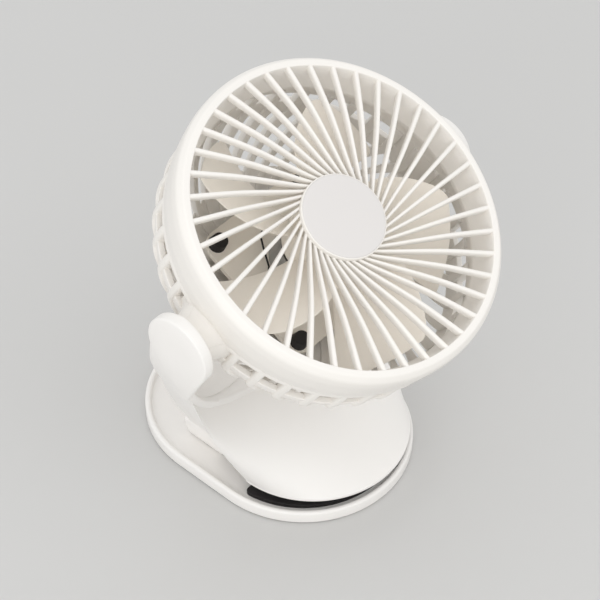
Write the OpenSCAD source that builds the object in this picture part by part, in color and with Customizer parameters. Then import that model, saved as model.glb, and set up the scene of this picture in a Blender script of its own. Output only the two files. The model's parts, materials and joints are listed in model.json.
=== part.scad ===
// Clip-on table fan: an oval clip base, a U-shaped yoke and a tilting fan head.
// The origin is the middle of the base's underside. The tilt axis runs along X, the
// fan and the mouth of the clip face -Y, and Z points up.

/* [Clip base] */
// Length of the oval tray, front to back
plate_l = 132; // [120:1:150]
// Width of the oval tray
plate_w = 101; // [96:1:110]
// Height of the tray's rim above the table
plate_h = 7; // [6:0.5:10]
// Height of the tray's floor above the table
plate_floor = 4; // [3:0.5:5]
// Width of the tray's raised rim
plate_rim = 2.6; // [2:0.2:4]
// Distance of the clip's hinge pin behind the middle of the tray
hinge_y = 20; // [16:1:24]
// Height of the clip's hinge pin
hinge_z = 10; // [9.8:0.1:11]
// Radius of the clip's hinge pin
hinge_pin_r = 2; // [1.5:0.1:2.5]

/* [Upper jaw] */
// Radius of the tongue's round lip
lip_r = 44.5; // [40:0.5:46]
// Distance of the lip's centre in front of the middle of the tray
lip_y = 21; // [18:1:24]
// Height of the lip's upper edge
lip_z = 14; // [12.5:0.5:18]
// Half the width of the pedestal where it meets the tray
foot_w = 35.5; // [32:0.5:38]
// Wall thickness of the yoke's moulding
wall = 2.4; // [2:0.2:3]
// Length of the squeeze lever behind the hinge
lever_l = 40; // [30:1:42]

/* [Yoke] */
// Height of the tilt axis
pivot_z = 127.5; // [120:0.5:135]
// Distance of the tilt axis in front of the middle of the tray
pivot_y = 22.5; // [18:0.5:26]
// Radius of the round cradle that the head turns in
cradle_r = 79.5; // [78.5:0.1:81]
// Outer radius of the yoke's arms
yoke_r = 84.5; // [84:0.5:87]
// Distance of an arm's inner face from the middle
arm_face = 77.6; // [77.2:0.1:78.2]
// Distance of an arm cap's outer face from the middle
cap_face = 84; // [83:0.1:84]
// Radius of an arm's round top
arm_top_r = 15.5; // [14:0.5:17]

/* [Head] */
// Upward tilt of the head
tilt = 59; // [0:1:90]
// Outer radius of the front ring
ring_r = 71.2; // [70:0.1:72]
// Inner radius of the front ring's lip
mouth_r = 66; // [64:0.5:67]
// Distance of the front ring's lip in front of the tilt axis
ring_front = 29.4; // [26:0.2:30]
// Distance of the front ring's rear edge in front of the tilt axis
ring_back = 8; // [7:0.5:10]
// Number of ribs in the front guard
rib_count = 40; // [30:1:48]
// Thickness of one rib of the front guard where it meets the ring
rib_t = 2.2; // [1.4:0.1:2.4]
// Thickness of one rib of the front guard where it meets the hub
rib_hub_t = 1.3; // [1.1:0.1:1.5]
// Sideways offset of each rib from the fan's axis
rib_offset = 13.3; // [8:0.1:16]
// Radius of the round hub cap
hub_r = 18.65; // [16:0.1:22]
// Number of side windows round the rear shell
window_count = 36; // [24:1:48]

/* [Fan] */
// Radius of the blades' tips
blade_r = 58; // [50:0.5:59]
// Number of blades
blade_count = 5; // [3:1:5]
// Angle that one blade covers at its tip
blade_span = 38.5; // [25:0.5:60]
// Radius of the motor's shaft
shaft_r = 1.5; // [1:0.1:2]

/* [Hidden] */

smooth = 96;         // facets of a full round
fine = 32;           // facets of a small round
run_gap = 0.05;      // radial play of a turning fit
move_gap = 0.4;      // play between bodies that move past each other
eps = 0.01;

// Clip base
base_pad_t = 1.4;    // the pad stands proud of the tray by plate_lift
plate_lift = 0.6;
heel_r = hinge_z - plate_floor - move_gap;   // round heel of the pedestal about the pin
heel_in = heel_r - 1.5;                      // round hollow of the heel
lug_r = 4.1;
lug_x = 22;          // inner face of a hinge lug
lug_t = 4;
foot_wall = 4.6;     // side wall of the pedestal that holds the pin's end
pin_half = foot_w - 1.5;
grip_pad_r = 45;
grip_pad_y = -15.5;
grip_pad_cut = -20;  // the pad's straight back edge
grip_pad_t = 2.2;
spring_r = 3.2;
spring_wire = 0.55;
spring_half = 11;
spring_turns = 10.3;

// Tongue and pedestal: a base outline and a yoke outline, joined by straight lines
lip_t = 1.6;         // thickness of the lip's edge
pedestal_back = hinge_y + heel_r;
pedestal_front = 2;  // front face of the foot
blend_deg = 62;      // where the pedestal ends and a free arm begins, from straight down
rings_up = 9;        // rows between the two outlines
flank_bulge = 2.2;   // outward bow of the flanks
foot_blend = 3;      // where the tongue's slanting side meets the foot
yoke_lip = 1.5;      // how far the pedestal's rim stands inside the arms' outer radius

// Bottom cover and its pad, under the tongue
cover_t = 1.2;
cover_z = lip_z - lip_t - cover_t;
cover_inset = 2.2;
cover_back = 0;
upper_pad_t = 0.8;
screw_spots = [[28, -38], [26, -3.2]];
screw_r = 1.25;
boss_r = 3;

// Inside the pedestal
cell_r = 9;
cell_l = 65;
cell_y = -16;
cell_z = 24.5;
board_y = 6;
board_t = 1.6;
board_half = 26;
button_z = 47.5;
button_r = 4.9;
button_travel = 1.2;
button_face = 20.4;
flange_back = 13.8;   // inner face of the button's flange
flange_r = button_r + 0.7;
flange_t = 0.8;
port_x = 21;
port_z = 30;
port_w = 9;
port_h = 3.2;
light_x = 9.5;

// Arms
cap_t = 3;           // thickness of an arm cap
cap_tip_z = 95.5;
pin_r = 3.5;         // tilt pin
pin_in = 66.5;       // inner end of a tilt pin
pin_out = 80.6;
ear_face = 77;       // outer face of the head's ear
ear_r = 12.6;
ear_flare_r = 18;    // radius of the ear's flare inside the head
washer_t = 0.3;

// Head, along its own axis: 0 is the tilt axis, and forward is +
duct_r = 62.6;       // inner radius at the seam behind the ribs
seam_a = 17;
lip_out_r = 68.6;
ring_side_a = 25.8;  // widest place of the ring
ring_back_r = 69.4;
ring_t = 2.1;
hoop_front = -2.7;   // rear edge of the side windows
hoop_back = -11;
vane_t = 2.6;
vane_phase = 3.3;     // angle of the first vane from +X
vane_depth = 5;
vane_sweep = 34;     // turn of a vane from the rim to the rear disc
vane_rim_r = 65;     // the sweep begins inside this radius
vane_clear_r = ear_r - 4; // the vanes stop short of the tilt pins by this radius
shell_t = 2;
rear_disc_r = 28;
rear_a = -36;        // rear face of the head
spigot_r = ring_back_r - ring_t - 0.1;

// Front ribs
hub_a = 26.9;        // front face of the hub cap
hub_cap_t = 2;
hub_seat_t = 2.6;
rib_out = 64.6;      // how far the ribs run along their own line
rib_phase = 7.94;    // direction of the first rib from +X

// Motor and the square plate that holds it
mount_a = -19;       // front face of the plate
mount_t = 2;
mount_half = 31.5;
mount_corner = 8;
damper_r = 3.4;
damper_pcd = 37;     // distance of the dampers from the fan's axis
damper_top = -14.5;
motor_r = 14;
motor_back = -28;
motor_front = -6;
bearing_r = 4;
armature_r = 11.5;
lead_r = 0.45;

// Rotor
blade_t = 1.6;
blade_root_r = 14.2;
blade_front = 16;    // place of a blade's front edge at its tip
blade_back = -7;     // place of a blade's rear edge at its tip
blade_turn = -17.5;   // direction of the first blade's front edge at its tip
blade_lean = 0.95;   // degrees that the front edge turns for each millimetre inward
root_span = 66;      // angle that a blade covers at its root
rotor_hub_r = 15;
rotor_back = -3;
rotor_front = 20.5;
shaft_end = 20.5;

// ---------------------------------------------------------------- helpers

// Oval with straight sides along Y and round ends
module oval(l, w) {
    half = (l - w) / 2;
    union() {
        translate([0, half]) circle(d = w, $fn = 2 * smooth);
        translate([0, -half]) circle(d = w, $fn = 2 * smooth);
        square([w, 2 * half], center = true);
    }
}

// Disc standing at height z
module disc(r, z0, z1, facets = smooth) {
    translate([0, 0, z0]) cylinder(r = r, h = z1 - z0, $fn = facets);
}

// Cylinder along X between two places
module along_x(r, x0, x1, facets = smooth) {
    translate([x0, 0, 0]) rotate([0, 90, 0]) cylinder(r = r, h = x1 - x0, $fn = facets);
}

// Head frame: Z forward along the fan's axis, X along the tilt axis
module in_head() {
    translate([0, -pivot_y, pivot_z]) rotate([90 - tilt, 0, 0]) children();
}

module at_pivot() {
    translate([0, -pivot_y, pivot_z]) children();
}

// Ball about the middle of the tilt axis
module ball(r) {
    at_pivot() rotate(37) sphere(r = r, $fn = smooth);
}

module at_hinge() {
    translate([0, hinge_y, hinge_z]) children();
}

// Tube of radius r along a list of points, with closed ends. Each ring is square to the
// line from the point before to the point after.
function unit(v) = v / norm(v);
function side_of(d) = unit(abs(d.x) < 0.9 ? cross(d, [1, 0, 0]) : cross(d, [0, 1, 0]));
function tube_ring(p, d, r, sides) =
    let (u = side_of(d), v = cross(d, u))
    [for (k = [0:sides - 1]) p + r * (cos(360 * k / sides) * u + sin(360 * k / sides) * v)];
module tube(path, r, sides = 8) {
    last = len(path) - 1;
    rings = [for (i = [0:last])
        tube_ring(path[i], unit(path[min(i + 1, last)] - path[max(i - 1, 0)]), r, sides)];
    skin(rings);
}

// Closed solid through rings of equal length, with a fan over each end
module skin(rings) {
    n = len(rings[0]);
    m = len(rings);
    points = [for (ring = rings) each ring];
    walls = [for (i = [0:m - 2], k = [0:n - 1])
        each let (a = i * n + k, b = i * n + (k + 1) % n) [[a, a + n, b + n], [a, b + n, b]]];
    first = [for (k = [1:n - 2]) [0, k, k + 1]];
    end = [for (k = [1:n - 2]) [(m - 1) * n, (m - 1) * n + k + 1, (m - 1) * n + k]];
    polyhedron(points, concat(walls, first, end));
}

// ---------------------------------------------------------------- clip base

module lower_jaw() {
    color([0.85, 0.83, 0.80]) difference() {
        union() {
            translate([0, 0, plate_lift]) linear_extrude(plate_h - plate_lift)
                oval(plate_l, plate_w);
            for (side = [-1, 1]) hinge_lug(side);
        }
        difference() {
            translate([0, 0, plate_floor]) linear_extrude(plate_h)
                oval(plate_l - 2 * plate_rim, plate_w - 2 * plate_rim);
            for (side = [-1, 1]) hinge_lug(side);
        }
        translate([0, 0, -eps]) linear_extrude(base_pad_t + eps)
            oval(plate_l - 20, plate_w - 20);
        at_hinge() along_x(hinge_pin_r, -lug_x - lug_t - 1, lug_x + lug_t + 1);
    }
}

// Upright lug on the tray's floor, with the bore for the hinge pin
module hinge_lug(side) {
    x0 = side > 0 ? lug_x : -lug_x - lug_t;
    at_hinge() along_x(lug_r, x0, x0 + lug_t);
    translate([x0, hinge_y - lug_r, plate_floor - 1])
        cube([lug_t, 2 * lug_r, hinge_z - plate_floor + 1]);
}

module base_pad() {
    color([0.25, 0.25, 0.25]) linear_extrude(base_pad_t) oval(plate_l - 20, plate_w - 20);
}

// Outline of a grip pad: a disc cut straight behind
module half_moon(r, y) {
    intersection() {
        translate([0, y]) circle(r = r, $fn = 2 * smooth);
        translate([-60, -80]) square([120, 80 + grip_pad_cut]);
    }
}

// Black half-moon pad that lies on the tray's floor under the lip
module lower_grip_pad() {
    color([0.12, 0.11, 0.11]) translate([0, 0, plate_floor]) linear_extrude(grip_pad_t)
        half_moon(grip_pad_r, grip_pad_y);
}

module hinge_pin() {
    color("silver") at_hinge() along_x(hinge_pin_r, -pin_half, pin_half);
}

// Torsion spring wound on the hinge pin. One leg runs forward on the tray's floor, the
// other up into the squeeze lever, where its end lies under the lever's top wall.
module clip_spring() {
    steps = 10;
    low_leg = [[-spring_half - 0.4, hinge_y - 13, plate_floor + 0.7],
               [-spring_half - 0.2, hinge_y - 6, plate_floor + 1.2]];
    coil = [for (i = [0:spring_turns * steps])
        let (a = 360 * i / steps - 90)
        [-spring_half + 2 * spring_half * i / (spring_turns * steps),
         hinge_y + spring_r * cos(a), hinge_z + spring_r * sin(a)]];
    high_leg = [for (p = [[1.2, 3.7], [0.5, 7], [4.5, 14], [13, 21.2]])
        [spring_half + 0.1, hinge_y + p.x, hinge_z + p.y]];
    color("dimgray") tube(concat(low_leg, coil, high_leg), spring_wire, 6);
}

// ---------------------------------------------------------------- yoke

// Angle from straight down round the yoke, and the yoke's front and rear edges there
function front_edge(psi) = -9 - 0.0027 * psi * psi;
function rear_edge(psi) = 18 - 0.0034 * psi * psi;

// Point of the sphere about the pivot at an angle psi from straight down and a given y
function on_sphere(r, psi, y) =
    let (rho = sqrt(r * r - pow(y + pivot_y, 2)))
    [rho * sin(psi), y, pivot_z - rho * cos(psi)];

// Right half of the base outline and of the yoke outline, point by point, from the
// front middle round to the rear middle
front_n = 16;
side_n = 10;
rear_n = 12;
corner_n = 4;
corner_r = 4;
corner_deg = 55;     // where the rear corner's edge meets the yoke
side_share = 0.6;    // share of the side's points in front of the foot
function base_side(t, inset) =
    t < side_share
        ? let (u = t / side_share)
          [lip_r + (foot_w - lip_r) * pow(u, 0.8) - inset, -lip_y + (foot_blend + lip_y) * u]
    : let (u = (t - side_share) / (1 - side_share))
          [foot_w - inset, foot_blend + (pedestal_back - corner_r - foot_blend) * u];
function base_rear(j, inset) =
    j <= corner_n
        ? let (a = 90 * j / corner_n)
          [foot_w - corner_r + (corner_r - inset) * cos(a),
           pedestal_back - corner_r + (corner_r - inset) * sin(a)]
    : [(foot_w - corner_r) * (rear_n - j) / (rear_n - corner_n), pedestal_back - inset];
function base_point(k, inset) =
    k <= front_n
        ? let (a = 90 * k / front_n) [(lip_r - inset) * sin(a), -lip_y - (lip_r - inset) * cos(a)]
    : k <= front_n + side_n ? base_side((k - front_n) / side_n, inset)
    : base_rear(k - front_n - side_n, inset);
function rear_angle(j) =
    j <= corner_n ? blend_deg + (corner_deg - blend_deg) * j / corner_n
    : corner_deg * (rear_n - j) / (rear_n - corner_n);
function yoke_angle(k) =
    k <= front_n ? let (t = k / front_n) 45 * t + (blend_deg - 45) * pow(t, 3)
    : k <= front_n + side_n ? blend_deg
    : rear_angle(k - front_n - side_n);
function yoke_point(k, r, inset) =
    let (psi = yoke_angle(k),
         y = k <= front_n ? front_edge(psi) + inset
             : k <= front_n + side_n
                 ? let (t = (k - front_n) / side_n)
                   (front_edge(psi) + inset) * (1 - t) + (rear_edge(psi) - inset) * t
             : rear_edge(psi) - inset,
         p = on_sphere(r, psi, y))
    [p.x - inset * min(1, p.x / 20), p.y, p.z - inset * 0.8];
half_n = front_n + side_n + rear_n;

// Row of the pedestal's skin at a share t of the way from the base to the yoke
function flank(k, t) =
    k <= front_n / 2 || k == half_n ? 0
    : flank_bulge * sin(180 * t) * min(1, (half_n - k) / 5) * min(1, (k - front_n / 2) / 6);
function jaw_point(k, t, z0, r, inset) =
    let (b = base_point(k, inset), u = yoke_point(k, r, inset))
    [b.x + (u.x - b.x) * t + flank(k, t), b.y + (u.y - b.y) * t, z0 + (u.z - z0) * t];
function mirrored(half) =
    concat(half, [for (k = [half_n - 1:-1:1]) [-half[k].x, half[k].y, half[k].z]]);
function flat_row(z, inset) =
    mirrored([for (k = [0:half_n]) let (b = base_point(k, inset)) [b.x, b.y, z]]);
function jaw_row(t, z0, r, inset) =
    mirrored([for (k = [0:half_n]) jaw_point(k, t, z0, r, inset)]);

module jaw_solid(inset, bottom, z0) {
    skin(concat(
        [flat_row(bottom, inset + 0.5), flat_row((bottom + z0) / 2, inset)],
        [for (i = [0:rings_up]) jaw_row(i / rings_up, z0, yoke_r - yoke_lip, inset)],
        [jaw_row(1, z0, cradle_r - 12, inset)]));
}

// Outline of one arm, seen from the side
function edge_points(lo, hi, n) = [for (i = [0:n]) lo + (hi - lo) * i / n];
function arc_about_pivot(r, from, to, steps) =
    [for (a = edge_points(from, to, steps)) [-pivot_y + r * cos(a), pivot_z + r * sin(a)]];
module arm_outline() {
    front = [for (psi = edge_points(45, 75, 6))
        [front_edge(psi), pivot_z - yoke_r * cos(psi)]];
    rear = [for (psi = edge_points(80, 45, 7))
        [rear_edge(psi), pivot_z - yoke_r * cos(psi)]];
    polygon(concat(front, arc_about_pivot(arm_top_r, 205, -12, 24), rear));
}

// Solid slab in the arm's side outline, from x0 to x1
module arm_slab(x0, x1) {
    translate([x0, 0, 0]) rotate([90, 0, 90]) linear_extrude(x1 - x0) arm_outline();
}

module both_sides() {
    children();
    mirror([1, 0, 0]) children();
}

// Teardrop outline of an arm cap
module cap_outline(grow = 0) {
    r = arm_top_r + grow;
    lean = asin(r / (pivot_z - cap_tip_z + grow));
    polygon(concat([[-pivot_y, cap_tip_z - grow]],
                   arc_about_pivot(r, 180 + lean, -lean, 26)));
}

// Space of one arm cap: the outer skin of the arm within the teardrop
module cap_space(grow) {
    difference() {
        translate([60, 0, 0]) rotate([90, 0, 90]) linear_extrude(cap_face - 60)
            cap_outline(grow);
        ball(yoke_r - cap_t - grow);
    }
}

module yoke_arm() {
    difference() {
        intersection() {
            arm_slab(55, cap_face);
            ball(yoke_r);
        }
        difference() {
            ball(cradle_r);
            at_pivot() along_x(arm_top_r, arm_face, cap_face);
        }
    }
}

module pedestal() {
    jaw_solid(0, lip_z - lip_t, lip_z);
    translate([-foot_w, pedestal_front, plate_floor + move_gap])
        cube([2 * foot_w, hinge_y - pedestal_front, lip_z - plate_floor]);
    at_hinge() along_x(heel_r, -foot_w, foot_w);
    translate([-foot_w, hinge_y, hinge_z]) cube([2 * foot_w, heel_r, lip_z - hinge_z]);
}

// Squeeze lever behind the hinge, wedge-shaped from the side and round at its end
lever_r = 15;
lever_rise = 27;
module squeeze_lever(inset) {
    end_r = lever_r - inset;
    root = inset > 0 ? 12 : 4;
    tip_y = hinge_y + lever_l;
    tip_z = hinge_z + lever_l * tan(lever_rise);
    intersection() {
        linear_extrude(50) union() {
            translate([0, tip_y - lever_r]) circle(r = end_r, $fn = smooth);
            translate([-end_r, hinge_y - root]) square([2 * end_r, lever_l + root - lever_r]);
        }
        translate([-20, 0, 0]) rotate([90, 0, 90]) linear_extrude(40)
            polygon([[hinge_y - root, hinge_z + 6],
                     [hinge_y + 3, hinge_z + 4.5 + inset],
                     [tip_y, tip_z + 1.5 + inset],
                     [tip_y, tip_z + 7 - inset],
                     [hinge_y + 16, hinge_z + 24 - inset],
                     [hinge_y - root, hinge_z + 30 - inset]]);
    }
}

// Hollow of the pedestal, open below
module pedestal_hollow() {
    inner = foot_w - foot_wall;
    difference() {
        union() {
            jaw_solid(wall + 0.6, cover_z, lip_z - wall);
            squeeze_lever(wall);
            translate([-inner, pedestal_front + wall, 0])
                cube([2 * inner, hinge_y - pedestal_front - wall, lip_z]);
            at_hinge() along_x(heel_in, -inner, inner);
        }
        ball(cradle_r + wall);
        both_sides() for (spot = screw_spots)
            translate([spot.x, spot.y, cover_z]) cylinder(r = boss_r, h = 60, $fn = fine);
    }
}

module yoke_body() {
    color([0.94, 0.93, 0.91]) difference() {
        union() {
            pedestal();
            squeeze_lever(0);
            both_sides() yoke_arm();
        }
        difference() {
            ball(cradle_r);
            both_sides() at_pivot() along_x(arm_top_r, arm_face, cap_face);
        }
        pedestal_hollow();
        both_sides() cap_space(0.15);
        both_sides() at_pivot() along_x(pin_r + run_gap, 76, cap_face);
        at_hinge() along_x(hinge_pin_r + run_gap, -pin_half - 0.2, pin_half + 0.2);
        both_sides() translate([lug_x - move_gap, hinge_y - heel_r, 0])
            cube([lug_t + 2 * move_gap, 2 * heel_r + 1, hinge_z + lug_r + move_gap]);
        both_sides() for (spot = screw_spots)
            translate([spot.x, spot.y, cover_z]) cylinder(r = screw_r, h = 9, $fn = fine);
        button_well();
        translate([port_x, 10, port_z]) port_outline(port_w + 0.3, port_h + 0.3, 20);
        translate([light_x, 10, button_z]) rotate([-90, 0, 0])
            cylinder(r = 1.1, h = 14, $fn = fine);
    }
}

// Round hole for the speed button through the rear wall
module button_well() {
    translate([0, 10, button_z]) rotate([-90, 0, 0])
        cylinder(r = button_r + 0.3, h = 14, $fn = smooth);
}

// Slot with round ends, w wide and h high, that runs along Y for a length
module port_outline(w, h, length) {
    rotate([-90, 0, 0]) linear_extrude(length) union() {
        for (side = [-1, 1]) translate([side * (w - h) / 2, 0]) circle(d = h, $fn = fine);
        square([w - h, h], center = true);
    }
}

module arm_cap() {
    color([0.95, 0.94, 0.93]) intersection() {
        cap_space(0);
        ball(yoke_r);
    }
}

module left_arm_cap() {
    mirror([1, 0, 0]) arm_cap();
}

module right_arm_cap() {
    arm_cap();
}

// ---------------------------------------------------------------- inside the pedestal

module cover_outline(inset) {
    half = [for (k = [0:half_n]) base_point(k, inset)];
    intersection() {
        polygon(concat(half, [for (k = [half_n - 1:-1:1]) [-half[k].x, half[k].y]]));
        translate([-60, -80]) square([120, 80 + cover_back]);
    }
}

// Thin cover that closes the tongue from below
module bottom_cover() {
    color([0.9, 0.89, 0.87]) difference() {
        translate([0, 0, cover_z]) linear_extrude(cover_t) cover_outline(cover_inset);
        both_sides() for (spot = screw_spots)
            translate([spot.x, spot.y, cover_z - 1]) cylinder(r = screw_r, h = 4, $fn = fine);
    }
}

module upper_grip_pad() {
    color([0.12, 0.11, 0.11]) difference() {
        translate([0, 0, cover_z - upper_pad_t]) linear_extrude(upper_pad_t)
            half_moon(lip_r - 5, -lip_y);
        both_sides() translate([screw_spots[0].x, screw_spots[0].y, cover_z - 2])
            cylinder(r = 2.6, h = 4, $fn = fine);
    }
}

// Four screws from below: a flat head under the cover and a shank in a boss
module cover_screws() {
    color("silver") both_sides() for (spot = screw_spots) translate([spot.x, spot.y, 0]) {
        translate([0, 0, cover_z - 0.8]) cylinder(r = 2.3, h = 0.8, $fn = fine);
        translate([0, 0, cover_z - 0.4]) cylinder(r = screw_r, h = 8, $fn = fine);
    }
}

module battery_cell() {
    color("royalblue") translate([0, cell_y, cell_z])
        along_x(cell_r, -cell_l / 2, cell_l / 2);
}

// Upright board with the button's switch and its chips
module circuit_board() {
    color("darkgreen") union() {
        translate([-board_half, board_y, 18]) cube([2 * board_half, board_t, 32]);
        translate([-3, board_y + board_t, button_z - 3]) cube([6, 3.2, 6]);
        translate([0, board_y + board_t + 3.2, button_z]) rotate([-90, 0, 0])
            cylinder(r = 1.6, h = flange_back - button_travel - board_y - board_t - 3.3,
                     $fn = fine);
        translate([-20, board_y - 2, 24]) cube([12, 2, 8]);
        translate([6, board_y - 3, 34]) cube([8, 3, 8]);
    }
}

module charge_port() {
    front = board_y + board_t;
    color("silver") difference() {
        translate([port_x, front, port_z]) port_outline(port_w, port_h, 20.4 - front);
        translate([port_x, front + 2, port_z]) port_outline(port_w - 0.7, port_h - 0.7, 20);
    }
    color("black") translate([port_x - 3, front + 2, port_z - 0.35])
        cube([6, 20.4 - front - 4, 0.7]);
}

// Round push button with a flange inside the wall
module speed_button() {
    color([0.86, 0.85, 0.83]) translate([0, 0, button_z]) rotate([-90, 0, 0]) union() {
        translate([0, 0, flange_back]) cylinder(r = flange_r, h = flange_t, $fn = smooth);
        translate([0, 0, flange_back]) cylinder(r = button_r, h = button_face - flange_back - 0.6,
                                                $fn = smooth);
        translate([0, 0, flange_back]) cylinder(r = button_r - 0.6,
                                                h = button_face - flange_back, $fn = smooth);
    }
}

module indicator_light() {
    color("white") translate([light_x, board_y + board_t, button_z]) rotate([-90, 0, 0])
        cylinder(r = 1.1, h = 19.3 - board_y - board_t, $fn = fine);
}

// ---------------------------------------------------------------- head

// Round boss of one ear on +X, cut to a stretch of the head's axis
module ear(a0, a1) {
    intersection() {
        translate([62, 0, 0]) rotate([0, 90, 0])
            cylinder(r1 = ear_flare_r, r2 = ear_r, h = ear_face - 62, $fn = smooth);
        translate([0, 0, a0]) cylinder(r = 90, h = a1 - a0, $fn = smooth);
        difference() {
            translate([0, 0, -50]) cylinder(r = 85, h = 100, $fn = smooth);
            translate([0, 0, -50]) cylinder(r = ring_back_r - ring_t, h = 100, $fn = smooth);
        }
    }
}

// Ring with a rounded lip, an outer band and a funnel that narrows to the seam
module ring_body() {
    corner = ring_r - lip_out_r;
    round_lip = [for (a = [0:15:75])
        [lip_out_r + corner * cos(a), ring_side_a + (ring_front - ring_side_a) * sin(a)]];
    band = [[ring_back_r, ring_back], [ring_back_r + 1.1, 15], [ring_r - 0.2, 21.5]];
    mouth = [[lip_out_r, ring_front], [mouth_r, ring_front], [mouth_r - 0.7, 26],
             [duct_r, seam_a], [duct_r, seam_a - 1.5]];
    inside = [[duct_r + 1.8, seam_a - 1.5], [mouth_r + 1, 26.2], [ring_r - ring_t - 0.2, 25],
              [ring_r - ring_t - 0.4, 21], [ring_back_r + 1 - ring_t, 15],
              [ring_back_r - ring_t, ring_back]];
    rotate_extrude($fn = 2 * smooth) polygon(concat(band, round_lip, mouth, inside));
}

// One straight rib, standing off the fan's axis by rib_offset and widening toward the ring
module rib() {
    seat = sqrt(pow(hub_r - 1.4, 2) - pow(rib_offset, 2));
    tip = rib_out + 0.6;
    translate([0, -rib_offset, 0]) intersection() {
        translate([0, rib_t, 0]) rotate([90, 0, 0]) linear_extrude(2 * rib_t)
            polygon([[seat, 22.6], [seat, 24.6], [13.6, 24.7], [20, 25.7], [28, 27], [36, 28.3],
                     [44, 29], [60, 29.3], [rib_out, 29.3], [tip, 27.4], [tip - 0.4, 25.4],
                     [60, 25.8], [44, 25.7], [36, 25.1], [28, 23.9]]);
        translate([0, 0, 20]) linear_extrude(12)
            polygon([[seat - 1, -rib_hub_t / 2], [tip + 1, -rib_t / 2],
                     [tip + 1, rib_t / 2], [seat - 1, rib_hub_t / 2]]);
    }
}

module front_guard() {
    color([0.95, 0.94, 0.92]) in_head() difference() {
        union() {
            ring_body();
            for (k = [0:rib_count - 1]) rotate(360 * k / rib_count + rib_phase) rib();
            disc(hub_r - 0.9, hub_a - hub_cap_t - hub_seat_t, hub_a - hub_cap_t);
            both_sides() ear(ring_back, ear_flare_r);
        }
        both_sides() along_x(pin_r, pin_in, ear_face + 1);
    }
}

module hub_cap() {
    back = hub_a - hub_cap_t;
    color([0.93, 0.91, 0.89]) in_head() rotate_extrude($fn = 2 * smooth)
        polygon([[0, back], [hub_r, back], [hub_r, hub_a - 0.9], [hub_r - 0.9, hub_a - 0.25],
                 [hub_r - 2, hub_a], [0, hub_a + 0.3]]);
}

// Outer outline of the rear shell, from the rim round to the rear disc
function shell_outline(inset) =
    [[ring_back_r - 0.3 - inset, ring_back - 0.1], [69.2 - inset, 0], [68.3 - inset, -7],
     [66.5 - inset, -12], [62.5 - inset, -18 + inset * 0.6], [54 - inset * 0.6, -25.5 + inset],
     [42, -31.5 + inset], [rear_disc_r, rear_a + 1 + inset], [20, rear_a + inset]];
module shell_band(depth) {
    outer = shell_outline(0);
    inner = shell_outline(depth);
    rotate_extrude($fn = 2 * smooth)
        polygon(concat(outer, [for (i = [len(inner) - 1:-1:0]) inner[i]]));
}

// One vane of the rear shell, seen along the fan's axis: straight at the rim, then swept
vane_rows = 9;
function vane_turn(r) = r > vane_rim_r ? 0
    : vane_sweep * pow((vane_rim_r - r) / (vane_rim_r - rear_disc_r), 0.8);
function vane_side(shift) =
    [for (i = [0:vane_rows])
        let (r = 70.5 - (70.5 - rear_disc_r + 2) * i / vane_rows,
             half = (vane_t / 2 + (r > vane_rim_r ? 0.7 : 0)) * 180 / (PI * r))
        r * [cos(vane_turn(r) + shift * half), sin(vane_turn(r) + shift * half)]];
module vane() {
    back = vane_side(1);
    polygon(concat(vane_side(-1), [for (i = [vane_rows:-1:0]) back[i]]));
}

module rear_guard() {
    color([0.94, 0.93, 0.91]) in_head() difference() {
        union() {
            intersection() {
                shell_band(vane_depth);
                difference() {
                    translate([0, 0, -50]) linear_extrude(80) for (k = [0:window_count - 1])
                        rotate(360 * k / window_count + vane_phase) vane();
                    both_sides() along_x(vane_clear_r, 55, 80);
                }
            }
            intersection() {
                shell_band(shell_t);
                union() {
                    disc(80, hoop_back, hoop_front);
                    disc(80, ring_back - 2.4, ring_back);
                    disc(48, -50, -20);
                }
            }
            difference() {
                disc(spigot_r, ring_back - 2, ring_back + 4);
                disc(spigot_r - 1.6, ring_back - 3, ring_back + 5);
            }
            disc(rear_disc_r, rear_a, rear_a + shell_t + 1);
            both_sides() ear(-ear_flare_r, ring_back - 0.1);
            for (k = [0:3]) rotate(45 + 90 * k) translate([damper_pcd, 0, 0])
                disc(3.6, -33, mount_a - mount_t, fine);
        }
        both_sides() along_x(pin_r, pin_in, ear_face + 1);
        for (k = [0:3]) rotate(45 + 90 * k) translate([damper_pcd, 0, 0])
            disc(screw_r, mount_a - mount_t - 7, mount_a, fine);
        disc(motor_r + 0.2, motor_back - 0.2, 0);
    }
}

module pivot_pins() {
    color("silver") at_pivot() both_sides() along_x(pin_r, pin_in, pin_out);
}

module friction_washers() {
    color([0.15, 0.15, 0.15]) at_pivot() both_sides() difference() {
        along_x(9, ear_face, ear_face + washer_t);
        along_x(pin_r, ear_face - 1, ear_face + 1);
    }
}

// Square plate with round corners that carries the motor on four dampers
module motor_mount() {
    middle = mount_half - mount_corner;
    outline = [for (q = [0:3], t = [0:15:90])
        let (c = 45 + 90 * q)
        [middle * sqrt(2) * cos(c) + mount_corner * cos(90 * q + t),
         middle * sqrt(2) * sin(c) + mount_corner * sin(90 * q + t)]];
    color([0.92, 0.89, 0.84]) in_head() difference() {
        translate([0, 0, mount_a - mount_t]) linear_extrude(mount_t) polygon(outline);
        disc(motor_r, mount_a - mount_t - 1, mount_a + 1);
        for (k = [0:3]) rotate(45 + 90 * k) translate([damper_pcd, 0, 0])
            disc(screw_r, mount_a - mount_t - 1, mount_a + 1, fine);
    }
}

module motor_dampers() {
    color([0.12, 0.11, 0.11]) in_head() for (k = [0:3]) rotate(45 + 90 * k)
        translate([damper_pcd, 0, 0]) difference() {
            translate([0, 0, mount_a]) cylinder(r1 = damper_r + 0.5, r2 = damper_r,
                                                h = damper_top - mount_a, $fn = fine);
            disc(screw_r, mount_a - 1, damper_top - 2, fine);
        }
}

module mount_screws() {
    color("silver") in_head() for (k = [0:3]) rotate(45 + 90 * k)
        translate([damper_pcd, 0, 0])
            disc(screw_r, mount_a - mount_t - 6, damper_top - 2, fine);
}

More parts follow.
